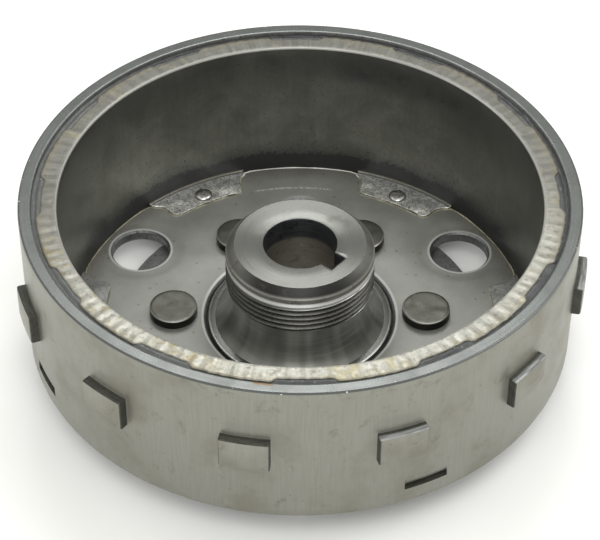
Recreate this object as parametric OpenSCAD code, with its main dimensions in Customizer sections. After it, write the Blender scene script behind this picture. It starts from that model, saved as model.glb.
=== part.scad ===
// Flywheel rotor of a small engine's alternator, open side up.
// Millimetres, +Z up. The origin is on the crankshaft axis, at the underside of the hub flange.

/* [Cup] */
// Outer radius of the steel cup
cup_r = 66; // [65:0.5:68]
// Thickness of the cup's wall
wall_t = 3.1; // [2.9:0.1:3.3]
// Depth of the cup, from its rim to its floor
cup_depth = 39.6; // [38:0.2:44]
// Thickness of the cup's floor
floor_t = 3.4; // [3:0.1:4]
// Drop from the floor's top face to the lower edge of the outer wall, negative is upward
wall_end_drop = -0.2; // [-1:0.1:0.5]
// Radius at which the bevel under the wall reaches the floor's underside
bevel_r = 61; // [60:0.5:61.5]

/* [Trigger lugs] */
// Evenly spaced places for the lugs
lug_places = 12; // [8:1:16]
// Place that is left without a lug, as the position mark
lug_gap = 4; // [0:1:7]
// Angle of the first place
lug_turn = 19.8; // [0:0.1:29]
// Width of a lug along the wall, in degrees
lug_span = 9.6; // [7:0.1:12]
// Height of a lug
lug_h = 8.1; // [7:0.1:9.5]
// Distance of a lug's upper edge below the rim
lug_drop = 14.4; // [12:0.2:16]
// How far a lug stands out of the wall
lug_proud = 2.3; // [1.5:0.1:2.4]

/* [Staked dents] */
// Number of dents that lock the magnet holder
dent_count = 4; // [3:1:6]
// Angle of the first dent
dent_turn = 25.7; // [0:0.1:29]
// Width of a dent along the wall, in degrees
dent_span = 9.3; // [7:0.1:11]
// Distance of a dent's sharp lower edge below the rim
dent_drop = 35; // [34:0.1:35.5]
// Height over which a dent runs out upwards
dent_h = 3.6; // [3:0.1:4]
// Depth of a dent
dent_depth = 1.5; // [1:0.1:1.6]

/* [Floor holes] */
// Number of large holes, and of small ones between them
hole_count = 3; // [3:1:3]
// Angle of the first large hole
hole_turn = 30; // [30:1:30]
// Radius of the circle on which the large holes lie
hole_pitch_r = 46.9; // [46:0.1:47]
// Radius of a large hole
hole_r = 7.2; // [6.8:0.1:7.2]
// Angle of the first small hole
port_turn = 90; // [90:1:90]
// Radius of the circle on which the small holes lie
port_pitch_r = 38.6; // [38:0.1:39]
// Radius of a small hole
port_r = 5.5; // [4.5:0.1:5.6]
// Bevel on the upper edge of the floor's holes
hole_bevel = 1.2; // [0.8:0.1:1.4]

/* [Hub] */
// Distance of the hub's top face below the rim
hub_drop = 16.2; // [14:0.2:18]
// Radius of the puller thread's crests
thread_r = 18; // [18:0.5:18]
// Pitch of the puller thread
thread_pitch = 1.5; // [1.5:0.25:1.5]
// Number of thread crests
thread_turns = 5; // [3:1:5]
// Radius of the hub at the foot of its flared neck
neck_foot_r = 20.8; // [20:0.1:21]
// Radius of the hub's shoulder in the floor's centre hole
shoulder_r = 22.6; // [22.2:0.1:22.8]
// Thickness of the hub's flange under the floor
flange_t = 5; // [4:0.2:6]
// Radius of the hub's flange
flange_r = 39.5; // [38:0.1:40]
// Radius that the three ears of the flange reach
ear_r = 45.8; // [44:0.1:46]
// Width of an ear, in degrees
ear_span = 20; // [16:1:24]

/* [Crank seat] */
// Radius of the bore at its narrow end
bore_r = 8.8; // [8.5:0.1:9]
// Length of the straight part of the bore
bore_l = 6; // [5:0.5:7]
// Taper of the crank seat, diameter over length
seat_taper = 0.2; // [0.1:0.05:0.2]
// Width of the keyway
key_w = 5; // [4:0.5:5]
// Depth of the keyway beyond the bore's wall
key_depth = 2.8; // [2:0.1:3]
// Direction of the keyway
key_turn = 321.5; // [0:0.5:359.5]

/* [Rivets] */
// Number of rivets
rivet_count = 6; // [6:1:6]
// Radius of the circle on which the rivets lie
rivet_pitch_r = 31.1; // [30.8:0.1:31.4]
// Radius of a rivet's head
rivet_head_r = 5.9; // [5.5:0.1:6]
// Height of a rivet's head
rivet_head_h = 2.5; // [2:0.1:3]
// Radius of a rivet's shank
rivet_shank_r = 3.5; // [3:0.1:4]

/* [Magnets] */
// Number of magnets
magnet_count = 12; // [12:1:12]
// Inner radius of the magnets
magnet_r = 57.6; // [57.6:0.1:58]
// Distance of the magnets' upper ends below the rim
magnet_drop = 3.5; // [3:0.1:5]
// Distance of the magnets' lower ends above the floor
magnet_lift = 8.6; // [8.4:0.1:9]
// Width of a magnet along the wall, in degrees
magnet_span = 26; // [24:0.5:27]

/* [Magnet cover] */
// Number of tabs on the cover's flange
tab_count = 12; // [8:1:12]
// Number of feet on the floor, each with a pin
foot_count = 6; // [6:1:6]
// Thickness of the cover's sheet
sheet_t = 0.5; // [0.4:0.1:0.5]
// Inner radius of the cover at the floor
cover_low_r = 56.2; // [56:0.1:56.4]
// Inner radius of the cover at its lip
cover_high_r = 57; // [56.8:0.1:57.1]
// Distance of the cover's flange below the rim
flange_drop = 0.5; // [0.3:0.1:0.8]
// Outer radius of the flange between its tabs
lip_r = 60.7; // [60:0.1:61]
// Outer radius of the flange's tabs
tab_r = 62.2; // [61.6:0.1:62.4]
// Angle of the first tab
tab_turn = 16.2; // [0:0.1:29]
// Width of a tab at its outer edge, in degrees
tab_span = 16; // [12:0.5:18]
// Inner radius of the feet
foot_r = 47.9; // [47.5:0.1:49]
// Width of a foot at the wall, in degrees
foot_span = 29; // [26:0.5:30]
// Width of a foot at its free edge, in degrees
foot_free_span = 24; // [22:0.5:26]
// Radius of a foot's free corners
foot_corner_r = 1.8; // [1:0.1:2]
// Radius of the circle on which the cover's pins lie
pin_pitch_r = 50.7; // [50.4:0.1:52]
// Radius of a pin's head
pin_head_r = 2.4; // [2:0.1:2.6]
// Height of a pin's head
pin_head_h = 1; // [0.8:0.1:1.2]

/* [Hidden] */
$fn = 96;

// Heights above the underside of the hub flange
floor_z = flange_t + floor_t;
rim_z = floor_z + cup_depth;
hub_z = rim_z - hub_drop;
cover_z = rim_z - flange_drop;
magnet_low_z = floor_z + magnet_lift;
magnet_high_z = rim_z - magnet_drop;
wall_end_z = floor_z - wall_end_drop;

// Cup
wall_r = cup_r - wall_t;
edge_break = 0.7;
rim_break = 0.4;
corner_r = 2;
centre_hole_r = shoulder_r + 0.6;
centre_bevel = 1.3;
foot_pin_shank_r = 1.6;
cut = 1;

// Presswork: how much narrower the pocket behind a lug is, and how far a dent's steel sinks into the wall
pocket_trim = 0.4;
dent_root = 0.5;
lug_root = 1;

// Hub
chamfer = 2;
land_r = thread_r - 0.05;
hub_top_r = land_r - chamfer - 0.1;
land_h = 1.6;
relief_h = 0.25;
relief_depth = 0.3;
collar_h = 1.5;
thread_depth = 0.92;
crest_w = 0.25;
neck_r = 16.5;
neck_runout = 0.5;
thread_runout = 0.2;
neck_straight = 1.2;
shoulder_break = 0.4;
spigot_h = 1.2;
bore_break = 0.35;
thread_high_z = hub_z - chamfer - land_h - collar_h;
thread_low_z = thread_high_z - thread_turns * thread_pitch;
shoulder_z = floor_z - 0.2;
flare_top_z = thread_low_z - neck_runout - neck_straight;
flare_h = flare_top_z - shoulder_z;
flare_out = neck_foot_r - neck_r;
flare_r = (flare_h ^ 2 + flare_out ^ 2) / (2 * flare_out);
flare_turn = asin(flare_h / flare_r);
seat_z = hub_z - bore_l;
seat_low_r = bore_r + seat_z * seat_taper / 2;
seat_half_angle = atan(seat_taper / 2);

// Cover: slant of a tab's sides in degrees, and how far a tab's root reaches into the flange
tab_slant = 2;
tab_root = 1;
lip_round = 0.3;

// Rivets and pins
sink_h = 1.6;
sink_r = rivet_shank_r + sink_h;
head_break = 0.35;

// Holder
holder_r = magnet_r;
holder_foot = 2.4;
finger_play = 0.1;

// Colours
steel = "#8f8d84";
bright_steel = "#b9bab8";
rivet_steel = "#7c7770";
sheet_steel = "#cfcdc0";
ferrite = "#3b3c3f";
plastic = "#26272a";
resin = "#33393f";

// Points of a circular arc about a centre, from angle a to angle b
function arc(centre, r, a, b, steps) = [
    for (i = [0 : steps]) let (t = a + (b - a) * i / steps) centre + r * [cos(t), sin(t)]
];

// Square-edged piece of a ring
module ring_piece(r1, r2, z1, z2, turn, span) {
    rotate([0, 0, turn - span / 2])
        rotate_extrude(angle = span)
            translate([r1, z1])
                square([r2 - r1, z2 - z1]);
}

// Places a child at each of count even steps on a circle
module around(count, r, turn = 0) {
    for (i = [0 : count - 1])
        rotate([0, 0, turn + i * 360 / count])
            translate([r, 0, 0])
                children();
}

// Through hole in the floor with a bevelled upper edge
module floor_hole(r, bevel) {
    translate([0, 0, flange_t - cut])
        cylinder(h = floor_t + 2 * cut, r = r);
    translate([0, 0, floor_z - bevel / 2])
        cylinder(h = bevel, r1 = r, r2 = r + 2 * bevel);
}

// Wall and floor of the cup before anything is pressed or pierced
module cup_blank() {
    rotate_extrude(convexity = 4)
        polygon(concat(
            [
                [0, flange_t],
                [bevel_r, flange_t],
                [cup_r - edge_break, wall_end_z],
                [cup_r, wall_end_z + edge_break],
                [cup_r, rim_z - rim_break],
                [cup_r - rim_break, rim_z],
                [wall_r + rim_break, rim_z],
                [wall_r, rim_z - rim_break]
            ],
            arc([wall_r - corner_r, floor_z + corner_r], corner_r, 0, -90, 8),
            [[0, floor_z]]
        ));
}

// One staked dent: depth at its lower edge, running out upwards; base is the surface it starts from
module dent(base, inner) {
    rotate([0, 0, -dent_span / 2])
        rotate_extrude(angle = dent_span)
            polygon([
                [base + inner, rim_z - dent_drop],
                [base - dent_depth, rim_z - dent_drop],
                [base, rim_z - dent_drop + dent_h],
                [base + inner, rim_z - dent_drop + dent_h]
            ]);
}

module dents_inside() {
    for (i = [0 : dent_count - 1])
        rotate([0, 0, dent_turn + i * 360 / dent_count])
            dent(wall_r, dent_root);
}

module dents_outside() {
    for (i = [0 : dent_count - 1])
        rotate([0, 0, dent_turn + i * 360 / dent_count])
            dent(cup_r, cut);
}

// Lugs, or the pockets that pressing them leaves on the inside of the wall
module lugs(r1, r2, trim) {
    for (i = [0 : lug_places - 1])
        if (i != lug_gap)
            ring_piece(
                r1, r2,
                rim_z - lug_drop - lug_h + trim, rim_z - lug_drop - trim,
                lug_turn + i * 360 / lug_places, lug_span - trim
            );
}

module yoke_shell() {
    color(steel)
        difference() {
            union() {
                cup_blank();
                lugs(cup_r - lug_root, cup_r + lug_proud, 0);
                dents_inside();
            }
            lugs(wall_r - cut, wall_r + lug_proud, pocket_trim);
            dents_outside();
            floor_hole(centre_hole_r, centre_bevel);
            around(hole_count, hole_pitch_r, hole_turn) floor_hole(hole_r, hole_bevel);
            around(hole_count, port_pitch_r, port_turn) floor_hole(port_r, hole_bevel);
            around(rivet_count, rivet_pitch_r)
                translate([0, 0, flange_t - cut])
                    cylinder(h = floor_t + 2 * cut, r = rivet_shank_r);
            around(foot_count, pin_pitch_r)
                translate([0, 0, flange_t - cut])
                    cylinder(h = floor_t + 2 * cut, r = foot_pin_shank_r);
        }
}

// Outline of one thread crest, from its upper root to its lower root
function thread_crest(z) = [
    [thread_r - thread_depth, z - crest_w / 2],
    [thread_r, z - thread_pitch / 2 + crest_w / 2],
    [thread_r, z - thread_pitch / 2 - crest_w / 2],
    [thread_r - thread_depth, z - thread_pitch + crest_w / 2]
];

// Half section of the hub's boss, from the foot of the shoulder up to the bore's mouth
function hub_section() = concat(
    [
        [0, flange_t - cut],
        [centre_hole_r, flange_t - cut],
        [centre_hole_r, flange_t + spigot_h],
        [shoulder_r, flange_t + 1.5 * spigot_h],
        [shoulder_r, shoulder_z - shoulder_break],
        [shoulder_r - shoulder_break, shoulder_z]
    ],
    arc([neck_r + flare_r, flare_top_z], flare_r, 180 + flare_turn, 180, 10),
    [[neck_r, thread_low_z - neck_runout]],
    [for (i = [thread_turns - 1 : -1 : 0]) each reversed(thread_crest(thread_high_z - i * thread_pitch))],
    [
        [land_r, thread_high_z + thread_runout],
        [land_r, thread_high_z + collar_h],
        [land_r - relief_depth, thread_high_z + collar_h],
        [land_r - relief_depth, thread_high_z + collar_h + relief_h],
        [land_r, thread_high_z + collar_h + relief_h],
        [land_r, hub_z - chamfer],
        [hub_top_r, hub_z],
        [0, hub_z]
    ]
);

function reversed(points) = [for (i = [len(points) - 1 : -1 : 0]) points[i]];

// Flange under the floor, with its three ears
module hub_flange() {
    linear_extrude(height = flange_t)
        union() {
            circle(r = flange_r);
            for (i = [0 : hole_count - 1])
                rotate([0, 0, hole_turn + i * 360 / hole_count])
                    polygon(concat(
                        [[0, 0]],
                        arc([0, 0], ear_r, -ear_span / 2, ear_span / 2, 10)
                    ));
        }
}

// Bore: straight at the nut's side, then widening downwards for the crankshaft's taper
module crank_bore() {
    rotate_extrude()
        polygon([
            [0, -cut],
            [seat_low_r + cut * seat_taper / 2, -cut],
            [bore_r, seat_z],
            [bore_r, hub_z - bore_break],
            [bore_r + bore_break + cut, hub_z + cut],
            [0, hub_z + cut]
        ]);
}

// Keyway, sloping with the taper
module keyway() {
    rotate([0, 0, key_turn])
        translate([bore_r + key_depth, 0, hub_z])
            rotate([0, -seat_half_angle, 0])
                translate([-bore_r, -key_w / 2, -2 * hub_z])
                    cube([bore_r, key_w, 3 * hub_z]);
}

module hub() {
    color(bright_steel)
        difference() {
            union() {
                rotate_extrude(convexity = 8) polygon(hub_section());
                hub_flange();
            }
            crank_bore();
            keyway();
            around(rivet_count, rivet_pitch_r) {
                translate([0, 0, -cut])
                    cylinder(h = flange_t + 2 * cut, r = rivet_shank_r);
                translate([0, 0, -cut])
                    cylinder(h = sink_h + cut, r1 = sink_r + cut, r2 = rivet_shank_r);
            }
        }
}

// Rivet: head on the cup's floor, shank through floor and flange, tail closed flush below
module rivet(i) {
    color(rivet_steel)
        rotate([0, 0, (i - 1) * 360 / rivet_count])
            translate([rivet_pitch_r, 0, 0])
                rotate_extrude($fn = 48)
                    polygon([
                        [0, 0],
                        [sink_r, 0],
                        [rivet_shank_r, sink_h],
                        [rivet_shank_r, floor_z],
                        [rivet_head_r, floor_z],
                        [rivet_head_r, floor_z + rivet_head_h - head_break],
                        [rivet_head_r - head_break, floor_z + rivet_head_h],
                        [0, floor_z + rivet_head_h]
                    ]);
}

module magnet(i) {
    color(ferrite)
        ring_piece(
            magnet_r, wall_r, magnet_low_z, magnet_high_z,
            (i - 1) * 360 / magnet_count, magnet_span
        );
}

// Cage: base ring under the magnets, locked by the dents, and a finger between each two magnets
module magnet_holder() {
    finger_span = 360 / magnet_count - magnet_span;
    color(plastic)
        difference() {
            union() {
                rotate_extrude()
                    polygon([
                        [holder_r, floor_z],
                        [wall_r - holder_foot, floor_z],
                        [wall_r, floor_z + holder_foot],
                        [wall_r, magnet_low_z],
                        [holder_r, magnet_low_z]
                    ]);
                for (i = [0 : magnet_count - 1])
                    ring_piece(
                        holder_r + finger_play, wall_r - finger_play,
                        magnet_low_z - cut, magnet_high_z,
                        (i + 0.5) * 360 / magnet_count, finger_span
                    );
            }
            for (i = [0 : dent_count - 1])
                ring_piece(
                    wall_r - dent_depth, wall_r + cut,
                    rim_z - dent_drop, rim_z - dent_drop + dent_h,
                    dent_turn + i * 360 / dent_count, dent_span
                );
        }
}

// Flat outline of the cover's flange: a ring with wide slant-sided tabs
module flange_outline() {
    root_span = tab_span + 2 * tab_slant;
    difference() {
        union() {
            circle(r = lip_r);
            for (i = [0 : tab_count - 1])
                rotate([0, 0, tab_turn + i * 360 / tab_count])
                    polygon(concat(
                        arc([0, 0], tab_r, -tab_span / 2, tab_span / 2, 8),
                        arc([0, 0], lip_r - tab_root, root_span / 2, -root_span / 2, 8)
                    ));
        }
        circle(r = cover_high_r + sheet_t / 2);
    }
}

// Flat outline of one foot, with round free corners
module foot_outline() {
    half = foot_span / 2;
    free_half = foot_free_span / 2;
    corner_turn = free_half - asin(foot_corner_r / (foot_r + foot_corner_r));
    corner_at = foot_r + foot_corner_r;
    polygon(concat(
        arc([0, 0], cover_low_r + sheet_t / 2, -half, half, 12),
        arc(corner_at * [cos(corner_turn), sin(corner_turn)], foot_corner_r, free_half + 90, free_half + 180, 5),
        arc([0, 0], foot_r, corner_turn, -corner_turn, 12),
        arc(corner_at * [cos(corner_turn), -sin(corner_turn)], foot_corner_r, 180 - free_half, 270 - free_half, 5)
    ));
}

module magnet_cover() {
    color(sheet_steel) {
        rotate_extrude(convexity = 4)
            polygon([
                [cover_low_r, floor_z],
                [cover_low_r + sheet_t, floor_z],
                [cover_high_r + sheet_t, cover_z - sheet_t],
                [cover_high_r + sheet_t, cover_z],
                [cover_high_r + lip_round, cover_z],
                [cover_high_r, cover_z - sheet_t]
            ]);
        translate([0, 0, cover_z - sheet_t])
            linear_extrude(height = sheet_t) flange_outline();
        for (i = [0 : foot_count - 1])
            rotate([0, 0, i * 360 / foot_count])
                translate([0, 0, floor_z])
                    linear_extrude(height = sheet_t)
                        difference() {
                            foot_outline();
                            translate([pin_pitch_r, 0]) circle(r = foot_pin_shank_r, $fn = 32);
                        }
    }
}

// Potting resin on top of the magnets, round the flange of the cover
module rim_resin() {
    color(resin)
        difference() {
            rotate_extrude(convexity = 4)
                polygon([
                    [cover_high_r + sheet_t, magnet_high_z],
                    [wall_r, magnet_high_z],
                    [wall_r, cover_z - sheet_t / 2],
                    [cover_high_r + sheet_t, cover_z - sheet_t / 2]
                ]);
            translate([0, 0, cover_z - sheet_t])
                linear_extrude(height = sheet_t + cut) flange_outline();
        }
}

// Pin staked over a foot of the cover
module cover_pin(i) {
    color(bright_steel)
        rotate([0, 0, (i - 1) * 360 / foot_count])
            translate([pin_pitch_r, 0, 0])
                rotate_extrude($fn = 32)
                    polygon([
                        [0, flange_t],
                        [foot_pin_shank_r, flange_t],
                        [foot_pin_shank_r, floor_z + sheet_t],
                        [pin_head_r, floor_z + sheet_t],
                        [pin_head_r, floor_z + sheet_t + pin_head_h - head_break],
                        [pin_head_r - head_break, floor_z + sheet_t + pin_head_h],
                        [0, floor_z + sheet_t + pin_head_h]
                    ]);
}

yoke_shell();
hub();
rivet(1);  // rivet_1
rivet(2);  // rivet_2
rivet(3);  // rivet_3
rivet(4);  // rivet_4
rivet(5);  // rivet_5
rivet(6);  // rivet_6
magnet(1);  // magnet_01
magnet(2);  // magnet_02
magnet(3);  // magnet_03
magnet(4);  // magnet_04
magnet(5);  // magnet_05
magnet(6);  // magnet_06
magnet(7);  // magnet_07
magnet(8);  // magnet_08
magnet(9);  // magnet_09
magnet(10);  // magnet_10
magnet(11);  // magnet_11
magnet(12);  // magnet_12
magnet_holder();
magnet_cover();
rim_resin();
cover_pin(1);  // cover_pin_1
cover_pin(2);  // cover_pin_2
cover_pin(3);  // cover_pin_3
cover_pin(4);  // cover_pin_4
cover_pin(5);  // cover_pin_5
cover_pin(6);  // cover_pin_6
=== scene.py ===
import math

import bmesh
import bpy
from mathutils import Matrix, Vector, noise


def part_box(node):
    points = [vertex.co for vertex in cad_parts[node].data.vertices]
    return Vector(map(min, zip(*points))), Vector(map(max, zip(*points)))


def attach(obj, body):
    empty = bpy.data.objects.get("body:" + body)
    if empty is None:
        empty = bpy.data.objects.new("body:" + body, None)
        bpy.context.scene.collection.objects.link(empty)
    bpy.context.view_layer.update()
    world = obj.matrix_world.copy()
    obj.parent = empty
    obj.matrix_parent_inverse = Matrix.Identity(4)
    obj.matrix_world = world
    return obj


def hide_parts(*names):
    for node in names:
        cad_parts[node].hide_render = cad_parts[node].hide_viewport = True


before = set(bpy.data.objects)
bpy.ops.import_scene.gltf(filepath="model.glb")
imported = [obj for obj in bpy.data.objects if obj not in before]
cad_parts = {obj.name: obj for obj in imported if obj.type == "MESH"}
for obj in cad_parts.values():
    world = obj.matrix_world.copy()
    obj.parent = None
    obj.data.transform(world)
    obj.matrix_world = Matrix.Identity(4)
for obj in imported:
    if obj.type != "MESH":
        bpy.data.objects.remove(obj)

# Looks of a flywheel rotor, open side up. Lengths in this script are millimetres, turned into metres
# where a vertex, a light or the camera is made. Angles are degrees about the crankshaft axis.

MM = 0.001
UP = Vector((0, 0, 1))
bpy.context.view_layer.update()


def low(node):
    """Lowest corner of a CAD node, in millimetres."""
    return Vector(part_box(node)[0]) / MM


def high(node):
    """Highest corner of a CAD node, in millimetres."""
    return Vector(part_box(node)[1]) / MM


# Heights and radii that the frame gives
UNDER_Z = low("yoke_shell").z
RIM_Z = high("yoke_shell").z
FLOOR_Z = low("magnet_holder").z
HUB_Z = high("hub").z
COVER_Z = high("magnet_cover").z
RESIN_LOW_Z = low("rim_resin").z
RESIN_Z = high("rim_resin").z
WALL_R = high("magnet_holder").x
EAR_R = -low("hub").y
RIVET_PITCH = (low("rivet_1").x + high("rivet_1").x) / 2
RIVET_R = (high("rivet_1").x - low("rivet_1").x) / 2
RIVET_TOP = high("rivet_1").z
PIN_PITCH = (low("cover_pin_1").x + high("cover_pin_1").x) / 2
PIN_R = (high("cover_pin_1").x - low("cover_pin_1").x) / 2
PIN_TOP = high("cover_pin_1").z

# Counts, and the play round a shank or the hub's spigot
RIVETS = 6
PINS = 6
FIT = 0.02

# Cup
WALL_T = 3.1
CUP_R = WALL_R + WALL_T
WALL_END_Z = FLOOR_Z + 0.2
BEVEL_R = 61
EDGE = 0.7
RIM_EDGE = 0.4
CORNER_R = 2
LUG_PLACES = 12
LUG_GAP = 4
LUG_TURN = 19.8
LUG_HALF = 4.8
LUG_HIGH_Z = RIM_Z - 14.4
LUG_LOW_Z = LUG_HIGH_Z - 8.1
LUG_PROUD = 2.3
DENTS = 4
DENT_TURN = 25.7
DENT_HALF = 4.65
DENT_LOW_Z = RIM_Z - 35
DENT_H = 3.6
DENT_DEPTH = 1.5
CENTRE_HOLE_R = 23.2
CENTRE_BEVEL = 1.3
HOLES = [(46.9, 30, 7.2), (46.9, 150, 7.2), (46.9, 270, 7.2)]
PORTS = [(38.6, 90, 5.5), (38.6, 210, 5.5), (38.6, 330, 5.5)]
HOLE_BEVEL = 1.2
SHANK_R = 3.5
PIN_SHANK_R = 1.6

# Hub
CHAMFER = 2
LAND_R = 17.95
TOP_R = LAND_R - CHAMFER - 0.1
RELIEF_Z = HUB_Z - CHAMFER - 1.6
COLLAR_BEVEL = 0.8
THREAD_R = 18
THREAD_DEPTH = 0.92
PITCH = 1.5
THREAD_HIGH_Z = RELIEF_Z - 1.5
THREAD_LOW_Z = THREAD_HIGH_Z - 5 * PITCH
NECK_R = 16.5
NECK_LOW_Z = THREAD_LOW_Z - 1.7
NECK_FOOT_R = 20.8
SHOULDER_R = 22.6
SHOULDER_Z = FLOOR_Z - 0.2
SPIGOT_Z = UNDER_Z + 1.2
FLANGE_R = 39.5
EAR_HALF = 10
EAR_TURNS = (30, 150, 270)
BORE_R = 8.8
SEAT_Z = HUB_Z - 6
TAPER = 0.1
KEY_TURN = 321.5
KEY_HALF_W = 2.5
KEY_DEPTH = 2.8
SINK_H = 1.6

# Cover, resin and glue
SHEET_T = 0.5
COVER_LOW_R = 56.2
COVER_HIGH_R = 57
LIP_R = 60.7
TAB_R = 62.2
TABS = 12
TAB_TURN = 16.2
TAB_HALF = 8
FOOT_R = 47.9
FOOT_HALF = 14.5
FOOT_FREE_HALF = 12
FOOT_CORNER = 1.8


# ---------------------------------------------------------------- mesh building

def at(radius, angle, z):
    """Point at a radius and an angle about the axis."""
    turn = math.radians(angle)
    return Vector((radius * math.cos(turn), radius * math.sin(turn), z))


def rivet_spot(index):
    """Place of a rivet's axis."""
    return at(RIVET_PITCH, index * 360 / RIVETS, 0)


def pin_spot(index):
    """Place of a pin's axis."""
    return at(PIN_PITCH, index * 360 / PINS, 0)


def away(angle, centre):
    """Signed angle from centre to angle, between -180 and 180."""
    return (angle - centre + 180) % 360 - 180


def blend(value, start, end):
    """0 before start, 1 after end, and smooth between them."""
    t = min(max((value - start) / (end - start), 0), 1)
    return t * t * (3 - 2 * t)


def waves(point, size, seed=0):
    """Smooth noise between about -1 and 1, with features of that size in millimetres."""
    return noise.noise(Vector(point) / size + Vector((seed * 7.3, seed * 3.1, seed * 5.7)))


def even_angles(step, keep=(), clear=0.4):
    """Angles at an even step, with the kept ones put in and their near neighbours left out."""
    kept = sorted(angle % 360 for angle in keep)
    even = [i * step for i in range(round(360 / step))]
    return sorted(kept + [a for a in even if all(abs(away(a, k)) > clear for k in kept)])


class Skin:
    """A mesh in the making, from rings of vertices, bands between them and flat plates with holes."""

    def __init__(self):
        self.bm = bmesh.new()

    def ring(self, points):
        """Vertices at points given in millimetres."""
        return [self.bm.verts.new(Vector(p) * MM) for p in points]

    def turned(self, angles, *profile):
        """Rings at the radii and heights of a profile."""
        return [self.ring([at(r, a, z) for a in angles]) for r, z in profile]

    def band(self, a, b, slot=0, closed=True):
        """Quads from ring a to ring b."""
        count = len(a) if closed else len(a) - 1
        faces = []
        for i in range(count):
            j = (i + 1) % len(a)
            face = self.bm.faces.new((a[i], b[i], b[j], a[j]))
            face.material_index = slot
            faces.append(face)
        return faces

    def bands(self, rings, slot=0, closed=True):
        """Quads between each ring and the next."""
        return [face for a, b in zip(rings, rings[1:]) for face in self.band(a, b, slot, closed)]

    def cap(self, ring):
        """One face that closes a ring."""
        self.bm.faces.new(ring)

    def plate(self, loops, slot=0):
        """Flat triangles between an outer loop and the loops of its holes."""
        edges = []
        for loop in loops:
            for i, vert in enumerate(loop):
                pair = (vert, loop[(i + 1) % len(loop)])
                edges.append(self.bm.edges.get(pair) or self.bm.edges.new(pair))
        made = bmesh.ops.triangle_fill(self.bm, use_beauty=True, edges=edges)["geom"]
        for face in made:
            if isinstance(face, bmesh.types.BMFace):
                face.material_index = slot

    def polar_uv(self, centre):
        """u runs round the centre's axis and v along the profile, so that a tangent follows the turning."""
        layer = self.bm.loops.layers.uv.new("polar")
        for face in self.bm.faces:
            turns = []
            for loop in face.loops:
                spot = loop.vert.co / MM - Vector(centre)
                turns.append(math.atan2(spot.y, spot.x) / math.tau)
            wraps = max(turns) - min(turns) > 0.5
            for loop, turn in zip(face.loops, turns):
                spot = loop.vert.co / MM - Vector(centre)
                v = (spot.z - 0.5 * math.hypot(spot.x, spot.y)) / 100
                loop[layer].uv = (turn + 1 if wraps and turn < 0 else turn, v)

    def make(self, name, materials, centre=(0, 0, 0), sharp=32, closed=True):
        """The finished object, smooth but for edges sharper than an angle."""
        self.bm.normal_update()
        if closed:
            bmesh.ops.recalc_face_normals(self.bm, faces=self.bm.faces)
        for face in self.bm.faces:
            face.smooth = True
        for edge in self.bm.edges:
            edge.smooth = len(edge.link_faces) != 2 or edge.calc_face_angle(0) < math.radians(sharp)
        self.polar_uv(centre)
        mesh = bpy.data.meshes.new(name)
        self.bm.to_mesh(mesh)
        self.bm.free()
        for material in materials:
            mesh.materials.append(material)
        piece = bpy.data.objects.new(name, mesh)
        bpy.context.collection.objects.link(piece)
        return piece


def circle(centre, radius, z, count):
    """Points of a circle about a vertical axis through centre."""
    return [Vector((centre.x, centre.y, 0)) + at(radius, i * 360 / count, z) for i in range(count)]


# ---------------------------------------------------------------- materials

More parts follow.
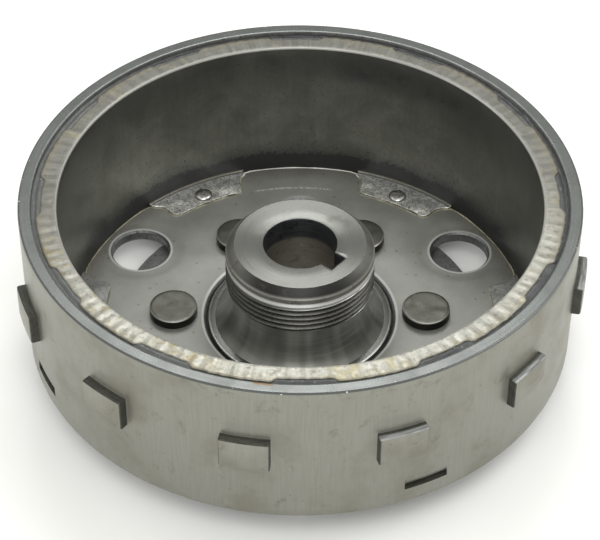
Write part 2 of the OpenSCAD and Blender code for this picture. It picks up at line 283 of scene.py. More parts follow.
class Paint:
    """One procedural material: its shader, and short calls that feed it. Sizes are millimetres."""

    def __init__(self, name, **sockets):
        """A new material with the shader's plain values, and the places that its patterns start from."""
        self.material = bpy.data.materials.new(name)
        self.material.use_nodes = True
        self.tree = self.material.node_tree
        self.shader = self.tree.nodes["Principled BSDF"]
        for socket, value in sockets.items():
            self.shader.inputs[socket.replace("_", " ")].default_value = value
        place = self.node("TexCoord").outputs["Object"]
        self.place = self.vector("SCALE", place, Scale=1 / MM)
        self.z = self.node("SeparateXYZ", self.place).outputs["Z"]
        flat = self.plan_from((0, 0, 0))
        self.radius = self.length(flat)
        self.around = self.vector("NORMALIZE", flat)
        self.normal = None

    def node(self, kind, *inputs, **settings):
        """A shader node with its settings, and values or links on its first sockets."""
        made = self.tree.nodes.new("ShaderNode" + kind)
        for key, value in settings.items():
            setattr(made, key, value)
        for socket, value in zip(made.inputs, inputs):
            self.put(socket, value)
        return made

    def put(self, socket, value):
        """Links a socket to another node's output, or sets it to a plain value."""
        if isinstance(value, bpy.types.NodeSocket):
            self.tree.links.new(value, socket)
        else:
            socket.default_value = value

    def vector(self, operation, *inputs, out="Vector", Scale=None):
        """Result of a vector operation."""
        made = self.node("VectorMath", *inputs, operation=operation)
        if Scale is not None:
            self.put(made.inputs["Scale"], Scale)
        return made.outputs[out]

    def length(self, vector):
        """Length of a vector, in millimetres where it is a distance."""
        return self.vector("LENGTH", vector, out="Value")

    def plan_from(self, centre):
        """Vector from a point to the surface, seen in plan."""
        return self.vector("MULTIPLY", self.vector("SUBTRACT", self.place, tuple(centre)), (1, 1, 0))

    def upward(self, height):
        """Vector straight up, of that height."""
        return self.node("CombineXYZ", 0.0, 0.0, height).outputs[0]

    def math(self, operation, *inputs):
        """Result of an operation on numbers."""
        return self.node("Math", *inputs, operation=operation).outputs[0]

    def times(self, product, *factors):
        """Product of values, such as masks."""
        for factor in factors:
            product = self.math("MULTIPLY", product, factor)
        return product

    def near(self, value, middle, outer, inner):
        """1 within inner of a middle value, and 0 past outer."""
        return self.step(self.math("ABSOLUTE", self.math("SUBTRACT", value, middle)), outer, inner)

    def spots(self, size, detail=3, rough=0.55, where=None, warp=0):
        """Noise with features of that size."""
        made = self.node("TexNoise")
        self.put(made.inputs["Vector"], where or self.place)
        self.put(made.inputs["Scale"], 1 / size)
        self.put(made.inputs["Detail"], detail)
        self.put(made.inputs["Roughness"], rough)
        self.put(made.inputs["Distortion"], warp)
        return made.outputs[0]

    def cells(self, size, where=None):
        """Distance to the nearest of points scattered at that spacing, for dots and pores."""
        made = self.node("TexVoronoi")
        self.put(made.inputs["Vector"], where or self.place)
        self.put(made.inputs["Scale"], 1 / size)
        return made.outputs["Distance"]

    def streaks_up(self, width, length, detail=2):
        """Streaks that run up a wall: fine round the axis and long in height."""
        turn = self.vector("SCALE", self.around, Scale=CUP_R / width)
        lift = self.upward(self.times(self.z, 1 / length))
        return self.spots(1, detail, where=self.vector("ADD", turn, lift))

    def streaks_round(self, width, length, detail=2):
        """Turning marks: fine in radius and height, long round the axis."""
        turn = self.vector("SCALE", self.around, Scale=CUP_R / length)
        lift = self.upward(self.times(self.math("ADD", self.radius, self.z), 1 / width))
        return self.spots(1, detail, where=self.vector("ADD", turn, lift))

    def ramp(self, value, *stops):
        """Colour or grey along a value: stops are (place, grey or colour)."""
        made = self.node("ValToRGB", value)
        points = made.color_ramp.elements
        while len(points) < len(stops):
            points.new(1)
        for point, (place, colour) in zip(points, stops):
            grey = isinstance(colour, (int, float))
            point.position = place
            point.color = (colour, colour, colour, 1) if grey else (*colour, 1)
        return made.outputs[0]

    def mix(self, amount, a, b):
        """From a to b as the amount goes from 0 to 1."""
        made = self.node("Mix", data_type="RGBA")
        for index, value in ((0, amount), (6, a), (7, b)):
            plain = isinstance(value, tuple) and len(value) == 3
            self.put(made.inputs[index], (*value, 1) if plain else value)
        return made.outputs[2]

    def ring_round(self, centre, inner, outer):
        """1 on a ring round a point of the floor, soft at both edges."""
        radius = self.length(self.plan_from(centre))
        return self.times(self.step(radius, inner, inner + 0.3), self.step(radius, outer, outer - 0.5))

    def sector(self, turn, half, soft):
        """1 within half degrees of a direction about the axis, and 0 past the soft edge."""
        toward = self.vector("DOT_PRODUCT", self.around, tuple(at(1, turn, 0)), out="Value")
        return self.step(toward, math.cos(math.radians(half + soft)), math.cos(math.radians(half)))

    def step(self, value, start, end):
        """0 before start, 1 after end."""
        made = self.node("MapRange", value, start, end, 0.0, 1.0, interpolation_type="SMOOTHSTEP")
        return made.outputs[0]

    def colour(self, value):
        """The surface's colour so far."""
        self.base = value
        self.put(self.shader.inputs["Base Color"], value)

    def lay(self, colour, *masks):
        """Another colour laid over it, where all the masks are 1."""
        self.colour(self.mix(self.times(*masks), self.base, colour))

    def rough(self, value, *stops):
        """Roughness, straight from a value or along a ramp."""
        self.put(self.shader.inputs["Roughness"], self.ramp(value, *stops) if stops else value)

    def bump(self, height, depth, strength=1.0):
        """Relief of that depth, on top of the relief so far."""
        made = self.node("Bump")
        self.put(made.inputs["Height"], height)
        self.put(made.inputs["Distance"], depth * MM)
        self.put(made.inputs["Strength"], strength)
        if self.normal:
            self.put(made.inputs["Normal"], self.normal)
        self.normal = made.outputs[0]
        self.put(self.shader.inputs["Normal"], self.normal)

    def turned(self):
        """Gloss stretched across the turning marks."""
        tangent = self.node("Tangent", direction_type="UV_MAP", uv_map="polar")
        self.put(self.shader.inputs["Tangent"], tangent.outputs[0])


def wall_steel():
    """Satin outer wall: vertical rubbing marks, brown stains and specks."""
    p = Paint("wall_steel", Metallic=0.85)
    rub = p.streaks_up(0.5, 9, 3)
    cloud = p.spots(16, 4, 0.6)
    p.colour(p.ramp(rub, (0.3, (0.246, 0.247, 0.215)), (0.7, (0.287, 0.288, 0.254))))
    p.lay((0.222, 0.214, 0.178), p.step(cloud, 0.44, 0.72))
    smudge = p.step(p.spots(5, 5, 0.65, warp=0.6), 0.56, 0.74)
    p.lay((0.15, 0.135, 0.11), smudge, 0.55)
    specks = p.step(p.spots(0.9, 2, 0.5), 0.7, 0.76)
    p.lay((0.1, 0.09, 0.075), specks, 0.5)
    p.rough(p.mix(0.5, rub, cloud), (0.3, 0.36), (0.7, 0.52))
    p.bump(rub, 0.006, 0.5)
    p.bump(p.spots(0.5, 3), 0.012, 0.5)
    return p.material


def sheared_steel():
    """Dark, torn faces of the lugs and the dents, with a painted highlight on the crests of two lugs."""
    p = Paint("sheared_steel", Metallic=0.7)
    grain = p.spots(0.7, 4, 0.7)
    tear = p.streaks_round(0.5, 5)
    p.colour(p.ramp(p.mix(0.5, grain, tear), (0.35, (0.04, 0.04, 0.034)), (0.65, (0.1, 0.1, 0.086))))
    crest = p.step(p.radius, CUP_R + 0.7, CUP_R + 1.3)
    upper = p.step(p.z, LUG_HIGH_Z - 0.5, LUG_HIGH_Z - 0.1)
    # Painted highlight: the top faces of two lugs at the front right get a light colour that stands for the
    # light they catch.
    painted_crest_highlight = p.ramp(tear, (0.35, (0.16, 0.165, 0.162)), (0.65, (0.38, 0.39, 0.385)))
    p.lay(painted_crest_highlight, crest, upper, p.sector(312, 34, 14))
    p.rough(grain, (0.3, 0.36), (0.7, 0.6))
    p.bump(grain, 0.06, 0.7)
    return p.material


def rim_steel():
    """Machined ring on the rim: cool grey, faint turning, bright nicks and one brown spot."""
    p = Paint("rim_steel", Metallic=0.9)
    turning = p.streaks_round(0.12, 30)
    cloud = p.spots(9, 4, 0.6)
    p.colour(p.ramp(turning, (0.3, (0.1, 0.106, 0.102)), (0.7, (0.13, 0.137, 0.132))))
    p.lay((0.092, 0.096, 0.09), p.step(cloud, 0.5, 0.75))
    nick = p.step(p.cells(2.7), 0.09, 0.04)
    edge = p.step(p.radius, CUP_R - 0.9, CUP_R - 0.3)
    p.lay((0.8, 0.8, 0.78), nick, edge)
    brown = p.times(p.sector(263, 1.1, 1.4), p.step(p.radius, WALL_R + 1.4, WALL_R + 0.6))
    p.lay((0.1, 0.07, 0.045), brown)
    p.rough(cloud, (0.35, 0.24), (0.7, 0.34))
    p.bump(turning, 0.002, 0.5)
    p.bump(p.spots(0.9, 2), 0.003, 0.3)
    return p.material


def floor_steel():
    """Pressed floor inside the cup: satin, with dots, a scuffed arc, bright bevels and dirt near the wall."""
    p = Paint("floor_steel", Metallic=0.5)
    cloud = p.spots(10, 4, 0.6)
    fine = p.spots(0.6, 3, 0.6)
    p.colour(p.ramp(cloud, (0.35, (0.215, 0.219, 0.2)), (0.7, (0.285, 0.29, 0.266))))
    dirt = p.times(p.step(p.radius, 50, 57), p.ramp(fine, (0.3, 0.35), (0.7, 0.9)))
    p.lay((0.12, 0.108, 0.085), dirt)
    dots = p.step(p.cells(3.4), 0.13, 0.07)
    p.lay((0.1, 0.1, 0.095), dots, 0.6)
    scuff = p.times(p.near(p.radius, FOOT_R, 0.5, 0.1), p.sector(92, 11, 2), p.step(fine, 0.42, 0.58), 0.7)
    p.lay((0.7, 0.7, 0.68), scuff)
    for pitch, turn, radius in HOLES:
        bevel = p.ring_round(at(pitch, turn, 0), radius + 0.3, radius + HOLE_BEVEL)
        p.lay((0.5, 0.505, 0.49), bevel)
    bevel = p.ring_round((0, 0, 0), CENTRE_HOLE_R + 0.3, CENTRE_HOLE_R + CENTRE_BEVEL)
    p.lay((0.6, 0.6, 0.585), bevel)
    p.rough(p.mix(0.5, cloud, fine), (0.35, 0.45), (0.65, 0.6))
    p.bump(fine, 0.012, 0.6)
    p.bump(dots, 0.05, -0.8)
    return p.material


def under_steel():
    """Underside of the cup, walls of its holes and the hub's flange: dull and mottled."""
    p = Paint("under_steel", Metallic=0.8)
    cloud = p.spots(12, 5, 0.65)
    fine = p.spots(0.8, 3)
    p.colour(p.ramp(cloud, (0.3, (0.115, 0.119, 0.118)), (0.7, (0.25, 0.256, 0.25))))
    p.lay((0.075, 0.068, 0.055), p.step(fine, 0.5, 0.75))
    p.rough(fine, (0.3, 0.38), (0.7, 0.58))
    p.bump(fine, 0.02, 0.6)
    return p.material


def turned_steel():
    """Bright turned faces of the hub, with light stretched across the tool marks."""
    p = Paint("turned_steel", Metallic=1.0, Anisotropic=0.92, Anisotropic_Rotation=0.25)
    p.turned()
    marks = p.streaks_round(0.09, 60, 3)
    cloud = p.spots(5, 4, 0.6)
    outside = p.step(p.radius, SHOULDER_R - 0.6, SHOULDER_R - 0.35)
    low_ring = p.mix(outside, (0.12, 0.122, 0.114), (0.34, 0.34, 0.32))
    p.colour(p.ramp(marks, (0.3, (0.125, 0.128, 0.118)), (0.7, (0.165, 0.168, 0.157))))
    p.lay((0.115, 0.115, 0.103), p.step(cloud, 0.56, 0.8))
    p.lay(low_ring, p.step(p.z, SHOULDER_Z + 2, SHOULDER_Z + 1))
    p.rough(cloud, (0.35, 0.24), (0.7, 0.27))
    p.bump(marks, 0.003, 0.5)
    return p.material


def hub_side():
    """Chamfer, land and collar of the hub: the chamfer painted near black in front as shade, the collar
    bright.
    """
    p = Paint("hub_side", Metallic=0.45, Anisotropic=0.5, Anisotropic_Rotation=0.25)
    p.turned()
    marks = p.streaks_round(0.16, 40)
    cloud = p.spots(3, 4, 0.65)
    land = p.ramp(marks, (0.3, (0.23, 0.226, 0.205)), (0.7, (0.36, 0.355, 0.328)))
    bevel = p.ramp(marks, (0.3, (0.1, 0.1, 0.09)), (0.7, (0.19, 0.188, 0.172)))
    # Painted shade: at the front the chamfer's colour is darkened almost to black.
    bevel = p.mix(p.sector(270, 26, 46), bevel, (0.014, 0.0135, 0.012))
    p.colour(p.mix(p.step(p.z, HUB_Z - CHAMFER - 0.2, HUB_Z - CHAMFER + 0.5), land, bevel))
    p.lay((0.07, 0.062, 0.05), p.step(cloud, 0.52, 0.78))
    ring = p.step(p.z, RELIEF_Z - 0.1, RELIEF_Z - 0.5)
    p.lay((0.62, 0.62, 0.6), ring)
    p.rough(cloud, (0.3, 0.34), (0.7, 0.46))
    p.bump(marks, 0.01, 0.6)
    return p.material


def thread_steel():
    """Puller thread: worn crests over dark, oily grooves, with the first and last crest bright."""
    p = Paint("thread_steel", Metallic=0.95, Anisotropic=0.4, Anisotropic_Rotation=0.25)
    p.turned()
    grit = p.spots(0.6, 4, 0.65)
    crest = p.step(p.radius, THREAD_R - 0.45, THREAD_R - 0.05)
    last = p.step(p.z, THREAD_LOW_Z + 1.1, THREAD_LOW_Z + 0.7)
    first = p.step(p.z, THREAD_HIGH_Z - 0.3, THREAD_HIGH_Z + 0.1)
    groove = p.ramp(grit, (0.3, (0.035, 0.034, 0.03)), (0.7, (0.09, 0.087, 0.078)))
    worn = p.ramp(grit, (0.35, (0.085, 0.085, 0.079)), (0.65, (0.16, 0.16, 0.15)))
    worn = p.mix(p.math("MAXIMUM", last, first), worn, (0.9, 0.9, 0.87))
    p.colour(p.mix(crest, groove, worn))
    p.rough(grit, (0.3, 0.28), (0.7, 0.5))
    p.bump(grit, 0.015, 0.5)
    return p.material


def neck_steel():
    """Flared neck: dark and polished, with bands that run down it."""
    p = Paint("neck_steel", Metallic=0.9)
    bands = p.streaks_up(11, 90, 1)
    marks = p.streaks_round(0.3, 60)
    p.colour(p.ramp(bands, (0.36, (0.27, 0.274, 0.257)), (0.62, (0.38, 0.385, 0.362))))
    p.lay((0.5, 0.502, 0.48), p.step(marks, 0.5, 0.7), 0.4)
    p.rough(marks, (0.3, 0.3), (0.7, 0.38))
    p.bump(marks, 0.002, 0.4)
    return p.material


def bore_steel():
    """Ground bore: grey above, lighter on the taper, with rings and a little rust."""
    p = Paint("bore_steel", Metallic=0.95, Anisotropic=0.5, Anisotropic_Rotation=0.25)
    p.turned()
    marks = p.streaks_round(0.2, 40)
    cloud = p.spots(3, 4, 0.65)
    straight = p.ramp(marks, (0.3, (0.085, 0.09, 0.1)), (0.7, (0.18, 0.19, 0.21)))
    taper = p.ramp(marks, (0.3, (0.38, 0.365, 0.315)), (0.7, (0.5, 0.485, 0.43)))
    p.colour(p.mix(p.step(p.z, SEAT_Z + 0.6, SEAT_Z - 0.6), straight, taper))
    p.lay((0.12, 0.085, 0.05), p.step(cloud, 0.55, 0.75), 0.5)
    p.rough(cloud, (0.3, 0.24), (0.7, 0.42))
    p.bump(marks, 0.01, 0.6)
    return p.material


def rivet_steel(index):
    """Rivet head: brownish, with its own turning marks round its own axis, and painted shade on the flanks.
    """
    centre = rivet_spot(index)
    p = Paint("rivet_steel_%d" % (index + 1), Metallic=0.9)
    own = p.plan_from(centre)
    radius = p.length(own)
    drift = p.vector("SCALE", p.vector("NORMALIZE", own), Scale=0.8)
    marks = p.spots(1, 2, where=p.vector("ADD", p.upward(p.times(radius, 5.0)), drift))
    cloud = p.spots(2.2, 4, 0.65)
    p.colour(p.ramp(marks, (0.35, (0.062, 0.062, 0.053)), (0.65, (0.08, 0.08, 0.069))))
    p.lay((0.055, 0.053, 0.044), p.step(cloud, 0.52, 0.74))
    edge = p.times(p.step(radius, RIVET_R - 0.5, RIVET_R - 0.25), p.step(radius, RIVET_R, RIVET_R - 0.1))
    p.lay((0.34, 0.34, 0.32), edge)
    # Painted shade: the flank below the top is darkened almost to black.
    flank = p.step(p.z, RIVET_TOP - 0.25, RIVET_TOP - 0.6)
    p.lay((0.03, 0.029, 0.026), flank)
    p.rough(cloud, (0.3, 0.28), (0.7, 0.42))
    p.bump(marks, 0.005, 0.5)
    p.bump(cloud, 0.04, 0.35)
    return p.material


def pin_steel():
    """Staked pins: bright crushed tops, with painted shade that darkens the flanks."""
    p = Paint("pin_steel", Metallic=1.0)
    crush = p.spots(0.8, 4, 0.6, warp=0.5)
    p.colour(p.ramp(crush, (0.35, (0.45, 0.45, 0.43)), (0.65, (0.82, 0.82, 0.8))))
    # Painted shade: the lower flank of each head is darkened to stand for the shadow under the dome.
    p.lay((0.05, 0.048, 0.042), p.step(p.z, PIN_TOP - 0.6, PIN_TOP - 0.9))
    p.rough(crush, (0.3, 0.16), (0.7, 0.32))
    p.bump(crush, 0.04, 0.6)
    return p.material


def cover_flange():
    """Flange of the cover: cream-white plating and yellow-brown stains, with painted shade that turns it grey
    towards the back and a painted highlight on the inner lip.
    """
    p = Paint("cover_flange", Metallic=0.35)
    pleat = p.mix(0.45, p.streaks_up(2.6, 50, 2), p.streaks_up(0.9, 50, 3))
    cloud = p.spots(5, 5, 0.62)
    fine = p.spots(0.8, 3)
    cream = p.ramp(pleat, (0.3, (0.19, 0.186, 0.15)), (0.6, (0.35, 0.348, 0.31)))
    grey = p.ramp(pleat, (0.3, (0.09, 0.09, 0.078)), (0.7, (0.185, 0.186, 0.168)))
    # Painted shade: the plating keeps its cream colour at the front and is darkened to grey towards the back.
    p.colour(p.mix(p.sector(280, 56, 42), grey, cream))
    p.lay((0.1, 0.098, 0.082), p.step(p.spots(1.7, 4, 0.65), 0.5, 0.66), 0.6)
    p.lay((0.27, 0.235, 0.14), p.step(cloud, 0.55, 0.68), 0.5)
    deep = p.step(p.spots(2.2, 4, 0.6, warp=0.5), 0.52, 0.66)
    p.lay((0.2, 0.165, 0.07), deep, p.sector(222, 22, 14), 0.75)
    broad = p.step(p.spots(2.6, 3, 0.55), 0.42, 0.6)
    p.lay((0.25, 0.22, 0.12), broad, p.sector(284, 6, 5), 0.7)
    edge = p.times(p.step(p.radius, LIP_R - 1.6, LIP_R + 0.5), p.ramp(fine, (0.35, 0.2), (0.7, 0.75)))
    p.lay((0.2, 0.18, 0.125), edge)
    # Painted highlight: a light band along the rounded inner lip.
    p.lay((0.36, 0.36, 0.335), p.step(p.radius, COVER_HIGH_R + 0.5, COVER_HIGH_R + 0.25))
    p.rough(fine, (0.3, 0.26), (0.7, 0.44))
    p.bump(pleat, 0.05, 0.7)
    p.bump(fine, 0.02, 0.5)
    return p.material


def cover_wall():
    """Inside of the cover: oily, with freckles, drips, a smear and a dark ragged band above the floor."""
    p = Paint("cover_wall", Metallic=0.8)
    rub = p.streaks_up(1.4, 30, 4)
    cloud = p.spots(11, 5, 0.65, warp=0.4)
    fine = p.spots(0.8, 4, 0.7)
    p.colour(p.ramp(p.mix(0.85, rub, cloud), (0.36, (0.195, 0.194, 0.172)), (0.66, (0.32, 0.318, 0.285))))
    p.lay(p.mix(0.6, p.base, (0.06, 0.061, 0.057)), p.step(p.z, FLOOR_Z + 14, COVER_Z))
    freckles = p.times(p.step(fine, 0.57, 0.68), p.step(cloud, 0.36, 0.56), 0.6)
    p.lay((0.07, 0.067, 0.058), freckles)
    drips = p.step(p.spots(1.5, 4, 0.7, warp=0.4), 0.64, 0.7)
    p.lay((0.04, 0.041, 0.042), drips, p.step(p.z, FLOOR_Z + 17, FLOOR_Z + 9), 0.8)
    smear = p.times(p.near(p.z, COVER_Z - 6, 5.5, 0.5), p.sector(58, 12, 16), p.step(cloud, 0.3, 0.6), 0.75)
    p.lay((0.05, 0.052, 0.055), smear)
    p.lay((0.1, 0.1, 0.088), p.sector(28, 12, 24), 0.4)
    ragged = p.math("SUBTRACT", p.math("SUBTRACT", p.z, FLOOR_Z), p.times(p.mix(0.5, fine, cloud), 9.0))
    back = p.times(p.step(ragged, 2.4, 0.2), p.sector(92, 46, 20))
    sides = p.times(p.step(ragged, 6.5, -2.0), p.sector(90, 100, 20))
    p.lay((0.045, 0.047, 0.051), p.math("MAXIMUM", back, sides), 0.9)
    p.rough(cloud, (0.35, 0.3), (0.7, 0.45))
    p.bump(fine, 0.015, 0.3)
    return p.material


def cover_foot():
    """Feet of the cover: crumpled and glossier at the back, where their colour is also painted bright as
    highlights; duller in front, with painted shade along the bend at the wall.
    """
    p = Paint("cover_foot", Metallic=0.75)
    crush = p.spots(1.3, 3, 0.6, warp=0.8)
    fine = p.spots(0.5, 3)
    rear = p.sector(90, 55, 10)
    # Painted highlights: the rear feet get a much brighter colour than the front ones.
    painted_lit_crumple = p.ramp(crush, (0.35, (0.45, 0.453, 0.426)), (0.68, (0.95, 0.952, 0.92)))
    p.colour(p.mix(rear, p.ramp(crush, (0.35, (0.25, 0.254, 0.24)), (0.68, (0.34, 0.344, 0.325))), painted_lit_crumple))
    p.lay((0.14, 0.138, 0.12), p.step(fine, 0.54, 0.68))
    # Painted shade along the bend where the feet meet the wall.
    p.lay((0.17, 0.165, 0.14), p.step(p.radius, COVER_LOW_R - 1.1, COVER_LOW_R - 0.4))
    p.rough(p.mix(rear, (0.62, 0.62, 0.62), p.ramp(fine, (0.3, 0.24), (0.7, 0.42))))
    p.bump(p.times(crush, p.ramp(rear, (0, 0.15), (1, 1.0))), 0.16, 0.8)
    return p.material


def potting_resin():
    """Potting resin: blue-black and rough, with oily specks, greyer on the left."""
    p = Paint("potting_resin", Metallic=0.0, Coat_Weight=0.3, Coat_Roughness=0.25)
    grain = p.spots(0.9, 5, 0.7)
    cloud = p.spots(4, 4, 0.6)
    p.colour(p.ramp(cloud, (0.35, (0.02, 0.0225, 0.0235)), (0.7, (0.048, 0.052, 0.053))))
    oil = p.step(p.cells(1.3), 0.2, 0.1)
    p.lay((0.22, 0.225, 0.215), oil, 0.7)
    line = p.step(p.radius, WALL_R - 0.9, WALL_R - 0.35)
    p.lay(p.mix(0.5, p.base, (0.1, 0.105, 0.1)), p.sector(196, 44, 20))
    p.lay((0.01, 0.01, 0.011), line, p.sector(45, 75, 20))
    p.rough(grain, (0.3, 0.4), (0.7, 0.75))
    p.bump(grain, 0.16, 0.8)
    return p.material


def old_glue():
    """Yellowed glue at the foot of the cover, with a painted white highlight along the back."""
    p = Paint("old_glue", Metallic=0.0, Coat_Weight=0.4, Coat_Roughness=0.2)
    cloud = p.spots(3, 4, 0.6)
    p.colour(p.ramp(cloud, (0.35, (0.16, 0.15, 0.085)), (0.65, (0.4, 0.38, 0.27))))
    # Painted highlight: a near-white stripe along the back stands for a glint on the glue.
    painted_glint = p.times(p.sector(89, 19, 6), p.step(p.radius, 53.8, 54.8))
    p.lay((0.75, 0.75, 0.7), painted_glint)
    p.rough(cloud, (0.3, 0.3), (0.7, 0.55))
    p.bump(p.spots(0.5, 3), 0.04, 0.6)
    return p.material


def ferrite():
    """Sintered magnet: charcoal, with ground marks and fine pores."""
    p = Paint("ferrite", Metallic=0.1)
    grain = p.spots(0.4, 4, 0.7)
    ground = p.streaks_up(0.3, 14)
    pores = p.step(p.cells(0.9), 0.16, 0.08)
    p.colour(p.ramp(p.mix(0.5, grain, ground), (0.35, (0.035, 0.036, 0.038)), (0.65, (0.075, 0.076, 0.08))))
    p.lay((0.012, 0.012, 0.013), pores)
    p.rough(grain, (0.3, 0.5), (0.7, 0.75))
    p.bump(grain, 0.02, 0.6)
    return p.material


def holder_plastic():
    """Moulded plastic of the magnet holder: black, glass-filled, slightly mottled."""
    p = Paint("holder_plastic", Metallic=0.0)
    fibre = p.spots(0.5, 3, where=p.vector("MULTIPLY", p.place, (1, 1, 4)))
    cloud = p.spots(7, 3)
    p.colour(p.ramp(p.mix(0.5, fibre, cloud), (0.35, (0.012, 0.012, 0.013)), (0.65, (0.034, 0.034, 0.036))))
    p.rough(fibre, (0.3, 0.4), (0.7, 0.6))
    p.bump(fibre, 0.02, 0.5)
    return p.material


def table_top():
    """Pale, plain floor of the studio."""
    p = Paint("table_top", Specular_IOR_Level=0.2)
    p.colour(p.ramp(p.spots(60, 3), (0.3, (0.86, 0.86, 0.85)), (0.7, (0.9, 0.9, 0.89))))
    p.rough(p.spots(8, 2), (0.3, 0.75), (0.7, 0.85))
    return p.material


# ---------------------------------------------------------------- cup

# How a lug rises at its edge: distance outside the edge, and share of its height
LUG_EDGE = [(0.35, 0), (0.08, 0.05), (0, 0.84), (-0.16, 0.95), (-0.5, 1)]
DENT_EDGE = 0.12
WALL, SHEARED, RIM, FLOOR, UNDER = range(5)


def share(depth_inside):
    """Share of a lug's height at a distance inside its edge."""
    if depth_inside <= -LUG_EDGE[0][0]:
        return 0
    for (out_a, part_a), (out_b, part_b) in zip(LUG_EDGE, LUG_EDGE[1:]):
        if depth_inside <= -out_b:
            return part_a + (part_b - part_a) * (depth_inside + out_a) / (out_a - out_b)
    return 1


def lug_turns():
    """Directions of the lugs, with one place left empty."""
    return [LUG_TURN + i * 360 / LUG_PLACES for i in range(LUG_PLACES) if i != LUG_GAP]


def dent_turns():
    """Directions of the dents."""
    return [DENT_TURN + i * 360 / DENTS for i in range(DENTS)]


def pressed_out(angle, z, shrink=0.0):
    """How far a lug stands out of the wall there."""
    if not LUG_LOW_Z - 1 < z < LUG_HIGH_Z + 1:
        return 0
    nearest = min(abs(away(angle, turn)) for turn in lug_turns())
    across = share(LUG_HALF - shrink - nearest)
    return LUG_PROUD * min(across, share(min(z - LUG_LOW_Z, LUG_HIGH_Z - z) - shrink))


def staked_in(angle, z):
    """How deep a dent is there."""
    nearest = min(abs(away(angle, turn)) for turn in dent_turns())
    if nearest > DENT_HALF or not DENT_LOW_Z < z < DENT_LOW_Z + DENT_H:
        return 0
    return DENT_DEPTH * ((DENT_LOW_Z + DENT_H - z) / DENT_H) ** 2 * blend(DENT_HALF - nearest, 0, 0.25)


def wall_rows():
    """Heights of the rows up the wall."""
    rows = [WALL_END_Z + EDGE, 11.2, DENT_LOW_Z - 0.04, DENT_LOW_Z + 0.04]
    rows += [DENT_LOW_Z + DENT_H * part for part in (0.25, 0.5, 0.75, 1)]
    rows += [19, 22]
    rows += [LUG_LOW_Z - out for out, _ in LUG_EDGE]
    rows += [(LUG_LOW_Z + LUG_HIGH_Z) / 2]
    rows += [LUG_HIGH_Z + out for out, _ in reversed(LUG_EDGE)]
    return rows + [37, 40, 43, 45.5, RIM_Z - RIM_EDGE]


def cup_angles():
    """Angles of the wall's columns, with one at each step of a lug's and a dent's edge."""
    keep = []
    for side in (-1, 1):
        keep += [turn + side * (LUG_HALF + out) for turn in lug_turns() for out, _ in LUG_EDGE]
        for inside in (0, DENT_EDGE, 2 * DENT_EDGE):
            keep += [turn + side * (DENT_HALF - inside) for turn in dent_turns()]
    return even_angles(1.5, keep, 0.12)


def hole_in_floor(skin, centre, radius, bevel, count, dimple=()):
    """Hole from the floor's top to its underside; gives back its top and bottom loops.

    A hole without a bevel gets no wall here, because the shank of a rivet or pin fills it.
    """
    profile = [(bevel + out, FLOOR_Z - sink) for out, sink in dimple]
    if bevel:
        profile.append((bevel, profile[-1][1] if dimple else FLOOR_Z))
        profile += [(bevel * 0.35, FLOOR_Z - bevel * 0.3), (0, FLOOR_Z - bevel * 0.7)]
    else:
        profile.append((0, FLOOR_Z))
    top = [skin.ring(circle(centre, radius + out, z, count)) for out, z in profile]
    low_edge = skin.ring(circle(centre, radius, UNDER_Z + 0.3, count))
    bottom = skin.ring(circle(centre, radius + 0.3, UNDER_Z, count))
    split = len(dimple) + 1 if bevel else 1
    skin.bands(top[:split + 1], FLOOR)
    skin.bands(top[split:] + [low_edge, bottom], UNDER)
    return top[0], bottom


def cup_outside(skin, angles):
    """Corner under the wall, and the wall; gives back the lowest and the highest ring."""
    corner = [(BEVEL_R, UNDER_Z), (CUP_R - EDGE, WALL_END_Z), (CUP_R - EDGE * 0.3, WALL_END_Z + EDGE * 0.25)]
    rings = skin.turned(angles, *corner)
    skin.bands(rings, UNDER)
    wall = [rings[-1]]
    for z in wall_rows():
        wall.append(skin.ring([at(CUP_R + pressed_out(a, z) - staked_in(a, z), a, z) for a in angles]))
    for face in skin.bands(wall, WALL):
        face.normal_update()
        spot = face.calc_center_median()
        outward = face.normal.dot(Vector((spot.x, spot.y, 0)).normalized())
        if abs(outward) < 0.75 and DENT_LOW_Z - 1 < spot.z / MM < LUG_HIGH_Z + 1:
            face.material_index = SHEARED
    return rings[0], wall[-1]


def cup_rim(skin, angles, wall_top):
    """Flat rim with rounded edges; gives back its inner ring."""
    bend = math.sin(math.radians(45)) * RIM_EDGE
    rim = [(CUP_R - RIM_EDGE + bend, RIM_Z - RIM_EDGE + bend), (CUP_R - RIM_EDGE, RIM_Z)]
    rim += [(CUP_R - RIM_EDGE - 0.1, RIM_Z), (WALL_R + RIM_EDGE + 0.1, RIM_Z)]
    rim += [(WALL_R + RIM_EDGE, RIM_Z), (WALL_R + RIM_EDGE - bend, RIM_Z - RIM_EDGE + bend)]
    rings = [wall_top] + skin.turned(angles, *rim)
    skin.bands(rings, RIM)
    return rings[-1]


def cup_inside(skin, angles, rim_ring):
    """Inner wall and the round corner at its foot; gives back the ring where the floor starts."""
    rings = [rim_ring]
    for z in reversed(wall_rows()[1:]):
        depths = [pressed_out(a, z, 0.2) - staked_in(a, z) for a in angles]
        rings.append(skin.ring([at(WALL_R + depth, a, z) for a, depth in zip(angles, depths)]))
    for step in range(5):
        turn = math.radians(step * 22.5)
        r = WALL_R - CORNER_R + CORNER_R * math.cos(turn)
        rings += skin.turned(angles, (r, FLOOR_Z + CORNER_R - CORNER_R * math.sin(turn)))
    skin.bands(rings, UNDER)
    return rings[-1]


